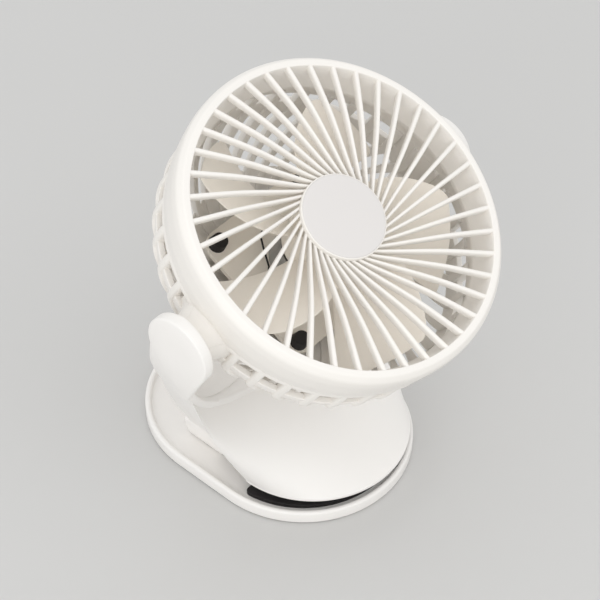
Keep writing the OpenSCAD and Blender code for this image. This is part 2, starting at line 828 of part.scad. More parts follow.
// Steel can, open inside, with a seat for a bearing in each end
module motor_can() {
    color("lightsteelblue") in_head() difference() {
        disc(motor_r, motor_back, motor_front);
        disc(motor_r - 1.2, motor_back + 3.5, motor_front - 3.5);
        disc(bearing_r, motor_back - 1, motor_front + 1);
    }
}

module motor_bearings() {
    color("goldenrod") in_head() for (a0 = [motor_back, motor_front - 3.5]) difference() {
        disc(bearing_r, a0, a0 + 3.5);
        disc(shaft_r + run_gap, a0 - 1, a0 + 5);
    }
}

// Thin black lead from the motor round to the left ear
module motor_lead() {
    color([0.1, 0.1, 0.1]) in_head()
        tube([[-3, 18.6, -18.2], [-6.4, 19.2, -15.8], [-9.7, 17.7, -15], [-12.8, 12.2, -15],
              [-16.2, 5.4, -15], [-21, 1.2, -16.4], [-29, 0, -17.8], [-40, 0, -18.2],
              [-50, 0, -17], [-57, 0, -12], [-61.5, 0, -5]], lead_r);
}

// ---------------------------------------------------------------- rotor

// One blade: rows from root to tip, each a thin strip from the rear to the front edge.
// The blade leans back by blade_lean for each millimetre inward of the tip.
blade_rows = 9;
blade_steps = 9;
function blade_point(u, v, face) =
    let (r = blade_root_r + (blade_r - blade_root_r) * u,
         span = root_span + (blade_span - root_span) * pow(u, 0.85),
         front = blade_turn + blade_lean * (blade_r - r),
         turn = front - span * (1 - v),
         climb = blade_back + (blade_front - blade_back) * v
                 + (1 - u) * (5.5 - 2.5 * v) + 1.6 * sin(180 * v))
    [r * cos(turn), r * sin(turn), climb + face * blade_t / 2];
module blade() {
    skin([for (i = [0:blade_rows])
        let (u = i / blade_rows)
        concat([for (j = [0:blade_steps]) blade_point(u, j / blade_steps, -1)],
               [for (j = [blade_steps:-1:0]) blade_point(u, j / blade_steps, 1)])]);
}

module fan_blades() {
    color([0.89, 0.86, 0.82]) in_head() difference() {
        union() {
            disc(rotor_hub_r, rotor_back, rotor_front);
            for (k = [0:blade_count - 1]) rotate(360 * k / blade_count) blade();
        }
        difference() {
            disc(rotor_hub_r - 1.8, rotor_back - 1, rotor_front - 2);
            disc(4, rotor_back - 1, rotor_front);
        }
        disc(4.5, rotor_back - 1, rotor_back + 2);
        disc(shaft_r, rotor_back - 1, rotor_front + 1);
    }
}

module motor_shaft() {
    color("silver") in_head() disc(shaft_r, motor_back, shaft_end);
}

module motor_armature() {
    color("peru") in_head() difference() {
        disc(armature_r, motor_back + 5, motor_front - 5);
        disc(shaft_r, motor_back, motor_front);
    }
}

module blade_nut() {
    color("silver") in_head() disc(2.6, shaft_end, shaft_end + 1.4, 6);
}

lower_jaw();
base_pad();
lower_grip_pad();
hinge_pin();
clip_spring();
yoke_body();
upper_grip_pad();
bottom_cover();
cover_screws();
battery_cell();
circuit_board();
charge_port();
speed_button();
indicator_light();
left_arm_cap();
right_arm_cap();
front_guard();
hub_cap();
rear_guard();
pivot_pins();
friction_washers();
motor_mount();
motor_dampers();
mount_screws();
motor_can();
motor_bearings();
motor_lead();
fan_blades();
motor_shaft();
motor_armature();
blade_nut();
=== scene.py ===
"""A clip-on fan: an oval spring clip carries a U-shaped yoke, in which a round fan head tilts.

Shapes are worked out in millimetres and become meshes in metres. The tilt axis runs along X,
the fan and the mouth of the clip face -Y, and Z points up.
"""
import json
import math

import bmesh
import bpy
import numpy as np
from mathutils import Matrix


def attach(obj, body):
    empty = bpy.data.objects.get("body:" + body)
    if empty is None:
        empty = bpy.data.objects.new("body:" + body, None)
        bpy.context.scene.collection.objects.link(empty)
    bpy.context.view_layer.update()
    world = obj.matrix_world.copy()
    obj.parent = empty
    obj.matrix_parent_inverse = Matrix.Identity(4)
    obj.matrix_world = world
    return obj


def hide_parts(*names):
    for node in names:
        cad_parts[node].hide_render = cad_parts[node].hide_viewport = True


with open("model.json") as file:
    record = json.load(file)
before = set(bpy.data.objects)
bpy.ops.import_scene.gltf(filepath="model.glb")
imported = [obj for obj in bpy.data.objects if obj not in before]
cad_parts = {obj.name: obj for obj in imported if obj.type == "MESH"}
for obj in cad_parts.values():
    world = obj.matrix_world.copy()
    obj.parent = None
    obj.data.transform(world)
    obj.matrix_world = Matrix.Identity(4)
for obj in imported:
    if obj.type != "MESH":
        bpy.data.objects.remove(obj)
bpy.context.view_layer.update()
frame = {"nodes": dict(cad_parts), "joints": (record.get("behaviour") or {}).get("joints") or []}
nodes = frame["nodes"]


# ---------------------------------------------------------------- studio
# A pale matt floor, a broad soft key lamp low on the left, a weaker one high over the front, and
# an even sky. The camera stands high on the left of the fan's front with a long lens.

class Value:
    """A number on its way through a material. + and * add Math nodes."""

    def __init__(self, finish, socket):
        self.finish = finish
        self.socket = socket

    def join(self, operation, other):
        """One Math node of this value and another value or number."""
        return self.finish.node("Math", {"operation": operation}, {0: self, 1: other})

    def __add__(self, other):
        return self.join("ADD", other)

    def __mul__(self, other):
        return self.join("MULTIPLY", other)

    __radd__ = __add__
    __rmul__ = __mul__


class Finish:
    """A node material with one Principled shader, and Object coordinates as its place."""

    def __init__(self, name, **constants):
        self.material = bpy.data.materials.new(name)
        self.material.use_nodes = True
        self.tree = self.material.node_tree
        self.shader = self.tree.nodes["Principled BSDF"]
        for socket, number in constants.items():
            self.set(socket.replace("_", " "), number)
        self.place = self.node("TexCoord", output="Object")

    def set(self, name, value):
        """Gives one of the shader's sockets a number, a colour or a link."""
        self.plug(self.shader.inputs[name], value)

    def plug(self, socket, value):
        """Puts a link, a colour or a number into a socket."""
        if isinstance(value, Value):
            self.tree.links.new(value.socket, socket)
        elif isinstance(value, (tuple, list)) and len(socket.default_value) == 4:
            socket.default_value = (*value[:3], 1)
        else:
            socket.default_value = value

    def node(self, kind, settings=None, values=None, output=0):
        """Adds a node by its type's name, with its settings first, then its sockets."""
        node = self.tree.nodes.new("ShaderNode" + kind)
        for name, setting in (settings or {}).items():
            setattr(node, name, setting)
        for key, value in (values or {}).items():
            self.plug(node.inputs[key], value)
        return Value(self, node.outputs[output])

    def noise(self, size, detail=2.0, stretch=(1, 1, 1)):
        """Soft noise from 0 to 1 with features of about a size in millimetres. A stretch below
        1 draws them out along that axis."""
        place = self.place
        if stretch != (1, 1, 1):
            place = self.node("Mapping", None, {"Vector": place, "Scale": stretch})
        return self.node("TexNoise", None,
                         {"Vector": place, "Scale": 1000 / size, "Detail": detail})

    def blend(self, share, first, second):
        """Colour between two colours, by a share from 0 to 1."""
        mix = self.tree.nodes.new("ShaderNodeMix")
        mix.data_type = "RGBA"
        self.plug(mix.inputs["Factor"], share)
        self.plug(mix.inputs[6], first)
        self.plug(mix.inputs[7], second)
        return Value(self, mix.outputs[2])

    def relief(self, height, depth):
        """Bumps the surface by a height times a depth in millimetres."""
        self.set("Normal", self.node("Bump", None, {"Height": height, "Distance": depth / 1000,
                                                    "Strength": 1.0}))


def colour(red, green, blue):
    """Screen colour from 0 to 255 as the light that a shader takes."""
    return tuple((c / 255 / 12.92) if c < 10 else ((c / 255 + 0.055) / 1.055) ** 2.4
                 for c in (red, green, blue))


floor = Finish("floor_paper", Roughness=0.9)
floor.set("Base Color", floor.blend(floor.noise(300), colour(203, 202, 200),
                                    colour(209, 208, 206)))
bpy.ops.mesh.primitive_plane_add(size=8)
floor_plane = bpy.context.object
floor_plane.name = "floor"
floor_plane.data.materials.append(floor.material)

sky = bpy.data.worlds.new("sky")
bpy.context.scene.world = sky
sky.use_nodes = True
background = sky.node_tree.nodes["Background"]
background.inputs["Color"].default_value = (0.98, 0.99, 1.0, 1)
background.inputs["Strength"].default_value = 0.93

# Each lamp: its name, its turn about Z and its lean from upright in degrees, its watts, and its
# width in metres. Both shine at the origin from the same distance.
lamp_distance = 1.5
lamps = (("key_lamp", -66, 66, 4.5, 1.4),
         ("fill_lamp", -14, 32, 2.3, 1.2))
for name, turn, lean, watts, width in lamps:
    lamp = bpy.data.lights.new(name, "AREA")
    lamp.shape = "DISK"
    lamp.size = width
    lamp.energy = watts
    lamp_object = bpy.data.objects.new(name, lamp)
    bpy.context.scene.collection.objects.link(lamp_object)
    lamp_object.matrix_world = (Matrix.Rotation(math.radians(turn), 4, "Z")
                                @ Matrix.Rotation(math.radians(lean), 4, "X")
                                @ Matrix.Translation((0, 0, lamp_distance)))

camera_place = (-0.4093, -0.3700, 0.6296)
camera_turn = math.radians(-48.913)
camera_drop = math.radians(44.931)
camera_roll = math.radians(0.356)
camera = bpy.data.cameras.new("camera")
camera.lens = 107.55
camera_object = bpy.data.objects.new("camera", camera)
bpy.context.scene.collection.objects.link(camera_object)
camera_object.matrix_world = (Matrix.Translation(camera_place)
                              @ Matrix.Rotation(camera_turn, 4, "Z")
                              @ Matrix.Rotation(math.pi / 2 - camera_drop, 4, "X")
                              @ Matrix.Rotation(camera_roll, 4, "Z"))
bpy.context.scene.camera = camera_object
bpy.context.scene.view_settings.view_transform = "Standard"


# ---------------------------------------------------------------- tray
# The clip's lower jaw: an oval tray of white moulded plastic with a raised round rim, and two
# upright lugs on its floor that hold the hinge pin.

def skin(points, closed=False, capped=True):
    """Surface through rows of points, each row a closed loop. closed joins the last row to the
    first, as on a ring; capped closes the first and last rows with a fan to their middle."""
    rows, count = points.shape[:2]
    vertices = points.reshape(-1, 3)
    row = np.arange(rows if closed else rows - 1)[:, None]
    step = np.arange(count)[None]
    here, above = row * count, (row + 1) % rows * count
    after = (step + 1) % count
    quads = np.stack([here + step, here + after, above + after, above + step], -1).reshape(-1, 4)
    fans = []
    if capped and not closed:
        ends = vertices[:count].mean(0), vertices[-count:].mean(0)
        middle = len(vertices)
        vertices = np.vstack([vertices, ends])
        step = np.arange(count)
        after = (step + 1) % count
        last = (rows - 1) * count
        fans = [np.stack([after, step, np.full(count, middle)], -1),
                np.stack([last + step, last + after, np.full(count, middle + 1)], -1)]
    return vertices, [quads, *fans]


def outward(vertices, groups):
    """Turns the faces round if they enclose a negative volume."""
    volume = 0
    for faces in groups:
        for k in range(1, faces.shape[1] - 1):
            a, b, c = vertices[faces[:, 0]], vertices[faces[:, k]], vertices[faces[:, k + 1]]
            volume += np.einsum("ij,ij->", a, np.cross(b, c))
    return [faces[:, ::-1] for faces in groups] if volume < 0 else groups


def weld(made, gap=0.00001):
    """Merges points that coincide, so that poles and folded rows are closed."""
    work = bmesh.new()
    work.from_mesh(made.data)
    bmesh.ops.remove_doubles(work, verts=work.verts, dist=gap)
    bmesh.ops.dissolve_degenerate(work, edges=work.edges, dist=gap / 10)
    work.to_mesh(made.data)
    work.free()


def piece(name, skins, body, finish, replaces, crease=40):
    """One object from several skins: rides on a body, stands for CAD nodes, and shades smoothly
    except where its surface turns by more than crease degrees."""
    places, faces, start = [], [], 0
    for vertices, groups in skins:
        for group in outward(vertices, groups):
            faces += (group + start).tolist()
        places.append(vertices)
        start += len(vertices)
    mesh = bpy.data.meshes.new(name)
    mesh.from_pydata((np.vstack(places) / 1000).tolist(), [], faces)
    mesh.validate()
    made = bpy.data.objects.new(name, mesh)
    bpy.context.scene.collection.objects.link(made)
    weld(made)
    mesh.shade_smooth()
    mesh.set_sharp_from_angle(angle=math.radians(crease))
    mesh.materials.append(finish.material)
    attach(made, body)
    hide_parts(*replaces)


def rounded(corners, steps=4, closed=True):
    """Outline through corners (x, y, radius). Each corner becomes an arc that touches both of
    its sides: the arc's ends lie radius / tan(half the angle) from the corner."""
    points = []
    count = len(corners)
    for i, (x, y, radius) in enumerate(corners):
        here = np.array([x, y], float)
        if radius == 0 or (not closed and i in (0, count - 1)):
            points.append(here[None])
            continue
        back = np.array(corners[i - 1][:2]) - here
        ahead = np.array(corners[(i + 1) % count][:2]) - here
        back, ahead = back / np.hypot(*back), ahead / np.hypot(*ahead)
        half = math.acos(np.clip(back @ ahead, -1, 1)) / 2
        middle = back + ahead
        centre = here + middle / np.hypot(*middle) * radius / math.sin(half)
        first = here + back * radius / math.tan(half) - centre
        last = here + ahead * radius / math.tan(half) - centre
        turn = math.pi - 2 * half
        share = np.linspace(0, 1, steps + 1)[:, None]
        points.append(centre + (np.sin((1 - share) * turn) * first
                                + np.sin(share * turn) * last) / math.sin(turn))
    return np.vstack(points)


def shade(base, factor):
    """A colour made darker by a factor."""
    return tuple(c * factor for c in base)


def moulded(name, base, roughness, grain=0.012):
    """Moulded plastic: a faint cloudiness, slow waves in the gloss, a fine satin grain, and
    shallow sink marks over the ribs and bosses behind the wall."""
    finish = Finish(name, Specular_IOR_Level=0.45)
    cloud = finish.noise(35, detail=3)
    finish.set("Base Color", finish.blend(cloud, shade(base, 0.955), base))
    gloss = finish.noise(9, detail=3)
    finish.set("Roughness", gloss * 0.14 + (roughness - 0.07))
    sink = finish.noise(16, detail=1)
    finish.relief(finish.noise(0.35) * grain + sink * 0.05, 1.0)
    return finish


tray_length, tray_width = 132, 101
tray_middle = (tray_length - tray_width) / 2
tray_under, recess_top, floor_height, rim_height = 0.6, 1.4, 4, 7
pad_inset = 10
white = moulded("white_shell", colour(246, 243, 239), 0.42)


def oval(profile, steps=72):
    """Closed surface on an oval: each profile point is (inset, height). The point goes round
    at half the width less the inset about the two end centres."""
    turn = np.concatenate([np.linspace(0, math.pi, steps),
                           np.linspace(math.pi, 2 * math.pi, steps)])
    centre = np.repeat([tray_middle, -tray_middle], steps)
    radius = tray_width / 2 - profile[:, :1]
    x = radius * np.cos(turn)
    y = centre + radius * np.sin(turn)
    return np.stack([x, y, np.repeat(profile[:, 1:], len(turn), 1)], -1)


def slab(outline, levels):
    """A flat outline carried through levels (height, inset): the inset moves each point
    inwards, square to the outline."""
    along = np.roll(outline, -1, 0) - np.roll(outline, 1, 0)
    along /= np.hypot(*along.T)[:, None]
    area = np.cross(outline, np.roll(outline, -1, 0)).sum()
    inward = np.stack([-along[:, 1], along[:, 0]], -1) * np.sign(area)
    levels = np.array(levels, float)
    flat = outline[None] + inward[None] * levels[:, 1, None, None]
    return np.concatenate([flat, np.repeat(levels[:, 0, None, None], len(outline), 1)], -1)


def edged(low, high, radius, steps=3):
    """Levels (height, inset) of a slab from low to high with round edges."""
    turn = np.linspace(0, math.pi / 2, steps + 1)
    lower = np.stack([low + radius * (1 - np.sin(turn)), radius * (1 - np.cos(turn))], -1)[::-1]
    upper = np.stack([high - radius * (1 - np.sin(turn)), radius * (1 - np.cos(turn))], -1)
    return np.vstack([lower, upper])


tray_section = rounded([(tray_width / 2, recess_top, 0), (pad_inset, recess_top, 0.2),
                        (pad_inset, tray_under, 0.2), (0, tray_under, 0.8), (0, rim_height, 1.3),
                        (2.7, rim_height, 1.2), (2.9, floor_height, 1.0),
                        (tray_width / 2, floor_height, 0)], 5, False)
hinge_y, hinge_z = 20, 10
lug_reach, lug_foot, lug_place, lug_half = 4.1, 3.5, 24, 2
lug_outline = rounded([(hinge_y - lug_reach, lug_foot, 0), (hinge_y + lug_reach, lug_foot, 0),
                       (hinge_y + lug_reach, hinge_z + lug_reach, 4),
                       (hinge_y - lug_reach, hinge_z + lug_reach, 4)], 8)
lugs = [slab(lug_outline, edged(place - lug_half, place + lug_half, 0.4))[..., [2, 0, 1]]
        for place in (-lug_place, lug_place)]
piece("tray", [skin(oval(tray_section), capped=False)] + [skin(lug) for lug in lugs],
      "clip_base", white, ["lower_jaw"])


# ---------------------------------------------------------------- grip pads
# Three soft rubber sheets, cut to shape and glued down: a grey one under the tray and black ones
# on the tray's floor and under the tongue.

def rubber(name, base):
    """Matt rubber: a dusty bloom in patches and a fine leathery grain."""
    finish = Finish(name, Specular_IOR_Level=0.35)
    bloom = finish.noise(12, detail=4)
    finish.set("Base Color", finish.blend(bloom, base, tuple(c * 1.5 + 0.004 for c in base)))
    finish.set("Roughness", bloom * 0.2 + 0.55)
    finish.relief(finish.noise(0.5, detail=3), 0.02)
    return finish


def dress(finish, *names):
    """Gives CAD nodes a finish in place of their plain colour."""
    for name in names:
        nodes[name].data.materials.clear()
        nodes[name].data.materials.append(finish.material)


black_rubber = rubber("black_rubber", colour(32, 29, 29))
grey_rubber = rubber("grey_rubber", colour(70, 70, 70))
# Low square ridges go round the foot's underside.
ridge_pitch, ridge_height, sheet_top = 3.5, 0.25, 1.35
inset = np.linspace(pad_inset + 0.6, 40, 60)
ridge = ridge_height * (np.sin(inset * 2 * math.pi / ridge_pitch) > 0.4)
foot_section = np.vstack([[tray_width / 2, 0.0], np.stack([inset, ridge], -1)[::-1],
                          [pad_inset + 0.1, 0.2], [pad_inset + 0.05, sheet_top],
                          [tray_width / 2, sheet_top]])
piece("base_foot", [skin(oval(foot_section), capped=False)], "clip_base", grey_rubber,
      ["base_pad"], 30)

pad_radius, pad_y, pad_cut, pad_top = 45, -15.5, -20, 6.2


def half_moon(radius, y, cut, corner):
    """Outline of a disc that is cut straight behind, with round corners. The disc's arc stops
    0.1 radian short of each corner."""
    reach = math.sqrt(radius ** 2 - (cut - y) ** 2)
    start = math.atan2(cut - y, reach)
    turn = np.linspace(math.pi - start + 0.1, 2 * math.pi + start - 0.1, 90)
    arc = np.stack([radius * np.cos(turn), y + radius * np.sin(turn)], -1)
    ends = rounded([(*arc[-1], 0), (reach, cut, corner), (-reach, cut, corner), (*arc[0], 0)], 5)
    return np.vstack([arc, ends[1:-1]])


lower_pad = slab(half_moon(pad_radius, pad_y, pad_cut, 2.0),
                 edged(floor_height - 0.05, pad_top, 0.35))
piece("lower_pad", [skin(lower_pad)], "clip_base", black_rubber,
      ["lower_grip_pad"])
dress(black_rubber, "upper_grip_pad")


# ---------------------------------------------------------------- hinge pin and clip spring
# A steel pin joins tray and yoke. A spring of drawn steel wire is wound on it, with one leg on
# the tray's floor and one up in the squeeze lever.

def steel(name, base, roughness, stretch, size):
    """Drawn or brushed steel: fine lines along one direction in its gloss and relief, and a
    slow change of tone."""
    finish = Finish(name, Metallic=1.0)
    lines = finish.noise(size, 4, stretch)
    finish.set("Base Color", finish.blend(finish.noise(8), shade(base, 0.85), base))
    finish.set("Roughness", lines * 0.25 + (roughness - 0.12))
    finish.relief(lines, 0.01)
    return finish


pin_steel = steel("pin_steel", colour(205, 205, 207), 0.3, (0.05, 1, 1), 0.4)
dress(pin_steel, "hinge_pin")


def tube(path, radius, reference, sides=10):
    """Round tube along a path: at each point a circle square to the path, turned so that its
    first direction is square to a reference direction."""
    path = np.asarray(path, float)
    along = np.gradient(path, axis=0)
    along /= np.linalg.norm(along, axis=1)[:, None]
    side = np.cross(along, reference)
    side /= np.linalg.norm(side, axis=1)[:, None]
    up = np.cross(side, along)
    turn = np.linspace(0, 2 * math.pi, sides, endpoint=False)
    return path[:, None] + radius * (np.cos(turn)[None, :, None] * side[:, None]
                                     + np.sin(turn)[None, :, None] * up[:, None])


def through(points, steps):
    """Smooth curve through points, with steps between neighbours (Catmull-Rom: a cubic whose
    slope at each point is half the way from the point before to the point after)."""
    points = np.asarray(points, float)
    padded = np.vstack([2 * points[0] - points[1], points, 2 * points[-1] - points[-2]])
    before, here, after, later = padded[:-3], padded[1:-2], padded[2:-1], padded[3:]
    share = np.linspace(0, 1, steps, endpoint=False)[None, :, None]
    before, here, after, later = (p[:, None] for p in (before, here, after, later))
    curve = (here + (after - before) * share / 2
             + (before - 2.5 * here + 2 * after - later / 2) * share ** 2
             + (1.5 * (here - after) + (later - before) / 2) * share ** 3)
    return np.vstack([curve.reshape(-1, points.shape[1]), points[-1:]])


coil_half, coil_radius, wire_radius, coil_turns, coil_points = 11, 3.2, 0.55, 10.3, 300
turn = np.linspace(-math.pi / 2, -math.pi / 2 + 2 * math.pi * coil_turns, coil_points)
coil = np.stack([np.linspace(-coil_half, coil_half, coil_points),
                 hinge_y + coil_radius * np.cos(turn), hinge_z + coil_radius * np.sin(turn)], -1)
low_leg = [[-coil_half - 0.4, hinge_y - 13, 4.7], [-coil_half - 0.2, hinge_y - 6, 5.2]]
high_leg = [[coil_half + 0.1, hinge_y + y, hinge_z + z]
            for y, z in ((1.2, 3.7), (0.5, 7), (4.5, 14), (13, 21.2))]
wire = np.vstack([through([*low_leg, coil[0]], 6)[:-1], coil,
                  through([coil[-1], *high_leg], 6)[1:]])
spring_steel = steel("spring_steel", colour(150, 150, 152), 0.36, (1, 1, 1), 0.6)
piece("clip_spring_wire", [skin(tube(wire, wire_radius, [1.0, 0, 0]))], "clip_base",
      spring_steel, ["clip_spring"], 60)


# ---------------------------------------------------------------- yoke
# One white moulding: a tongue with a round lip rises into a pedestal and on into two arms, and a
# squeeze lever stands out behind. Its round cradle is part of a ball about the tilt axis. A white
# cover with four screws closes it from below.

joints = {joint["name"]: joint for joint in frame["joints"]}
pivot = 1000 * np.array(joints["head_tilt"]["pos_m"])
lip_radius, lip_y, lip_top, lip_under = 44.5, -21, 14, 12.4
foot_half, foot_blend, foot_back, corner_radius = 35.5, 3, 25.6, 4
foot_under, foot_top, foot_front = 4.4, 12.9, 2
cradle_radius, arm_radius, rim_radius = 79.5, 84.5, 83
blend_turn, front_turn, rear_turn = 62, 45, 55
flank_bow = 2.2


def front_edge(turn):
    """Front of the yoke at an angle in degrees from straight down: a parabola."""
    return -9 - 0.0027 * turn ** 2


def rear_edge(turn):
    """Rear of the yoke at an angle in degrees from straight down: a parabola."""
    return 18 - 0.0034 * turn ** 2


def on_ball(radius, turn, y):
    """Point of a ball about the pivot, by its angle from straight down and its y."""
    reach = np.sqrt(radius ** 2 - (y - pivot[1]) ** 2)
    turn = np.radians(turn)
    return np.stack([reach * np.sin(turn), y + 0 * turn, pivot[2] - reach * np.cos(turn)], -1)


def half_loop():
    """Right half of the pedestal's outline, from the front middle to the rear middle. For each
    point: which stretch it is in, its share of that stretch, and its station."""
    stretches = [("front", 40, 0, 16), ("side", 24, 16, 10),
                 ("corner", 8, 26, 4), ("rear", 16, 30, 8)]
    for name, count, start, length in stretches:
        share = np.linspace(0, 1, count + 1)[(0 if name == "front" else 1):]
        yield name, share, start + length * share


def base_outline(name, share, inset):
    """Foot of the pedestal in plan: a round lip, sides that run in to the foot over their first
    part and then go straight back, and a rear wall with round corners."""
    if name == "front":
        turn = share * math.pi / 2
        return (lip_radius - inset) * np.sin(turn), lip_y - (lip_radius - inset) * np.cos(turn)
    if name == "side":
        slant_part = 0.6
        slant = np.clip(share / slant_part, 0, 1)
        straight = np.clip((share - slant_part) / (1 - slant_part), 0, 1)
        return (lip_radius + (foot_half - lip_radius) * slant ** 0.8 - inset,
                lip_y + (foot_blend - lip_y) * slant
                + (foot_back - corner_radius - foot_blend) * straight)
    if name == "corner":
        turn = share * math.pi / 2
        return (foot_half - corner_radius + (corner_radius - inset) * np.cos(turn),
                foot_back - corner_radius + (corner_radius - inset) * np.sin(turn))
    return (foot_half - corner_radius) * (1 - share), foot_back - inset + 0 * share


def rim_outline(name, share, inset):
    """Rim of the cradle, as angles from straight down and places along Y. The front's angle is
    front_turn times its share, plus the rest up to blend_turn times the cube of its share. The
    sides stand at blend_turn, and the rear runs back to straight down by way of rear_turn."""
    if name == "front":
        turn = front_turn * share + (blend_turn - front_turn) * share ** 3
        return turn, front_edge(turn) + inset
    if name == "side":
        turn = blend_turn + 0 * share
        return turn, (front_edge(turn) + inset) * (1 - share) + (rear_edge(turn) - inset) * share
    if name == "corner":
        turn = blend_turn + (rear_turn - blend_turn) * share
    else:
        turn = rear_turn * (1 - share)
    return turn, rear_edge(turn) - inset


def whole(half):
    """Closed loop from its right half, mirrored to the left."""
    return np.vstack([half, half[-2:0:-1] * [-1, 1, 1]])


def foot_row(height, inset):
    """Row of the pedestal's foot outline at a height, drawn in by an inset."""
    rows = [np.stack([*base_outline(name, share, inset), height + 0 * share], -1)
            for name, share, station in half_loop()]
    return whole(np.vstack(rows))


def flank_row(share_up):
    """Row of the flank between foot and rim: straight lines, bowed outwards by a sine of the
    way up. The bow fades in and out along the outline, so that front and rear stay straight."""
    rows = []
    for name, share, station in half_loop():
        foot = np.stack([*base_outline(name, share, 0), lip_top + 0 * share], -1)
        rim = on_ball(rim_radius, *rim_outline(name, share, 0))
        row = foot + (rim - foot) * share_up
        row[:, 0] += (flank_bow * math.sin(math.pi * share_up)
                      * np.interp(station, [8, 14, 33, 38], [0, 1, 1, 0]))
        rows.append(row)
    return whole(np.vstack(rows))


def rim_row(radius, inset, inward=0.0):
    """Row on a ball about the pivot, drawn in towards the middle of the cradle by a share."""
    middle = (front_edge(0) + rear_edge(0)) / 2
    rows = []
    for name, share, station in half_loop():
        turn, y = rim_outline(name, share, inset)
        rows.append(on_ball(radius, turn * (1 - inward), y + (middle - y) * inward))
    return whole(np.vstack(rows))


under_insets = (20, 8, 1.2)
lip_rows = ((12.4, 0.75), (12.47, 0.4), (12.7, 0.15), (13.0, 0.02), (13.4, 0), (13.75, 0.02))
flank_shares = (0.0, 0.01, 0.03, 0.07, *np.linspace(0.12, 0.9, 14), 0.94, 0.97, 0.99, 1.0)
rim_rows = ((82.6, 0), (81.5, 0), (80.6, 0.02), (80.1, 0.15), (79.75, 0.4), (79.55, 0.75),
            (cradle_radius, 1.2))
cradle_shares = (0.03, 0.08, 0.16, 0.3, 0.45, 0.6, 0.75, 0.88, 0.96)
pedestal = np.stack([foot_row(lip_under, inset) for inset in under_insets]
                    + [foot_row(height, inset) for height, inset in lip_rows]
                    + [flank_row(share) for share in flank_shares]
                    + [rim_row(radius, inset) for radius, inset in rim_rows]
                    + [rim_row(cradle_radius, 1.2, share) for share in cradle_shares])

foot_outline = rounded([(foot_front, foot_under, 1), (hinge_y, foot_under, 0),
                        (foot_back, foot_under, 5.55), (foot_back, foot_top, 0),
                        (foot_front, foot_top, 0)], 8)
foot = slab(foot_outline, edged(-foot_half + 0.08, foot_half - 0.08, 0.8))[..., [2, 0, 1]]

arm_top_radius, arm_face, arm_out = 15.5, 79.7, 84.0
arm_start, arm_foot, arm_shoulder = 45, 67.7, 120
cap_step, cap_step_foot, cap_step_run = 0.55, 93, 4
arm_levels = np.concatenate([np.linspace(arm_foot, arm_shoulder, 46)[:-1], pivot[2]
                             + arm_top_radius * np.sin(np.linspace(-0.5, 1.53, 34))])


def arm_edge(yoke_edge, last_turn, top_turn):
    """Y of one edge of an arm at its levels: the yoke's own edge up to an angle from straight
    down, a straight line, and the round top from an angle up to the apex."""
    low = np.linspace(arm_start, last_turn, 20)
    top = np.radians(np.linspace(top_turn, 90, 40))
    heights = np.concatenate([pivot[2] - arm_radius * np.cos(np.radians(low)),
                              pivot[2] + arm_top_radius * np.sin(top)])
    places = np.concatenate([yoke_edge(low), pivot[1] + arm_top_radius * np.cos(top)])
    return np.interp(arm_levels, heights, places)[:, None]


def arm(side):
    """One arm as level slices. Each slice is a rounded oblong between the arm's edges along Y
    and between the cradle's ball and the yoke's outer ball along X. Under the cap it is lower
    by a step, and its inner face is flat about the tilt axis."""
    plan_long, plan_thick, inner_bend, outer_bend = 10, 5, 1.1, 1.3
    corners = rounded([(0, 0, inner_bend), (plan_long, 0, inner_bend),
                       (plan_long, plan_thick, outer_bend), (0, plan_thick, outer_bend)], 4)
    fill = np.linspace(0, 1, 9)[1:-1]
    # The outline has five points round each corner and seven along each long side.
    inner_run, outer_run = plan_long - 2 * inner_bend, plan_long - 2 * outer_bend
    inner_side = np.stack([inner_bend + inner_run * fill, 0 * fill], -1)
    outer_side = np.stack([plan_long - outer_bend - outer_run * fill, plan_thick + 0 * fill], -1)
    section = np.vstack([corners[:5], inner_side, corners[5:15], outer_side, corners[15:]])
    along, across = section.T
    front, rear = arm_edge(front_edge, 75, 205), arm_edge(rear_edge, 80, -12)
    width = rear - front
    shrink = np.clip(width / 6, 0, 1)
    share = np.clip((along - outer_bend) / outer_run, 0, 1)
    between = front + outer_bend * shrink + (width - 2 * outer_bend * shrink) * share
    y = np.where(along < outer_bend, front + along * shrink,
                 np.where(along > plan_long - outer_bend, rear + (along - plan_long) * shrink,
                          between))
    z = arm_levels[:, None] + 0 * y
    off_axis = np.hypot(y - pivot[1], z - pivot[2])
    inner = np.sqrt(np.maximum((cradle_radius + 0.08) ** 2 - off_axis ** 2, 1))
    inner = np.where(off_axis < arm_top_radius + 0.5, np.minimum(inner, arm_face), inner)
    outer = np.sqrt(arm_radius ** 2 - off_axis ** 2)
    outer = np.minimum(outer, arm_out)
    outer = outer - cap_step * np.clip((z - cap_step_foot) / cap_step_run, 0, 1)
    thick = outer - inner
    across = np.where(across < inner_bend, across,
                      np.where(across > plan_thick - outer_bend, thick + across - plan_thick,
                               thick * across / plan_thick))
    return np.stack([side * (inner + across), y, z], -1)


lever_half, lever_front, lever_end = 15, 8, 60
lever_plan = rounded([(-lever_half, lever_front, 0), (lever_half, lever_front, 0),
                      (lever_half, lever_end, 14.9), (-lever_half, lever_end, 14.9)], 24)
lever_under = np.array([(lever_front, 13), (23, 14.5), (lever_end, 31.9)])
lever_top = through([(lever_front, 41), (16, 38.6), (25, 36), (36, 34.2), (48, 34.6),
                     (lever_end, 37.4)], 8)


def lever():
    """Squeeze lever: its plan carried from the underside to the top with round edges. Along Y
    the underside follows straight lines, and the top a smooth curve that dips for the thumb."""
    edge = edged(0, 1, 0.25, 5) * [1, 5.6]
    rows = slab(lever_plan, np.vstack([[[0, 13.5], [0, 8]], edge, [[1, 8], [1, 13.5]]]))
    y, share = rows[..., 1], rows[..., 2]
    low, high = np.interp(y, *lever_under.T), np.interp(y, *lever_top.T)
    rows[..., 2] = low + (high - low) * share
    return rows


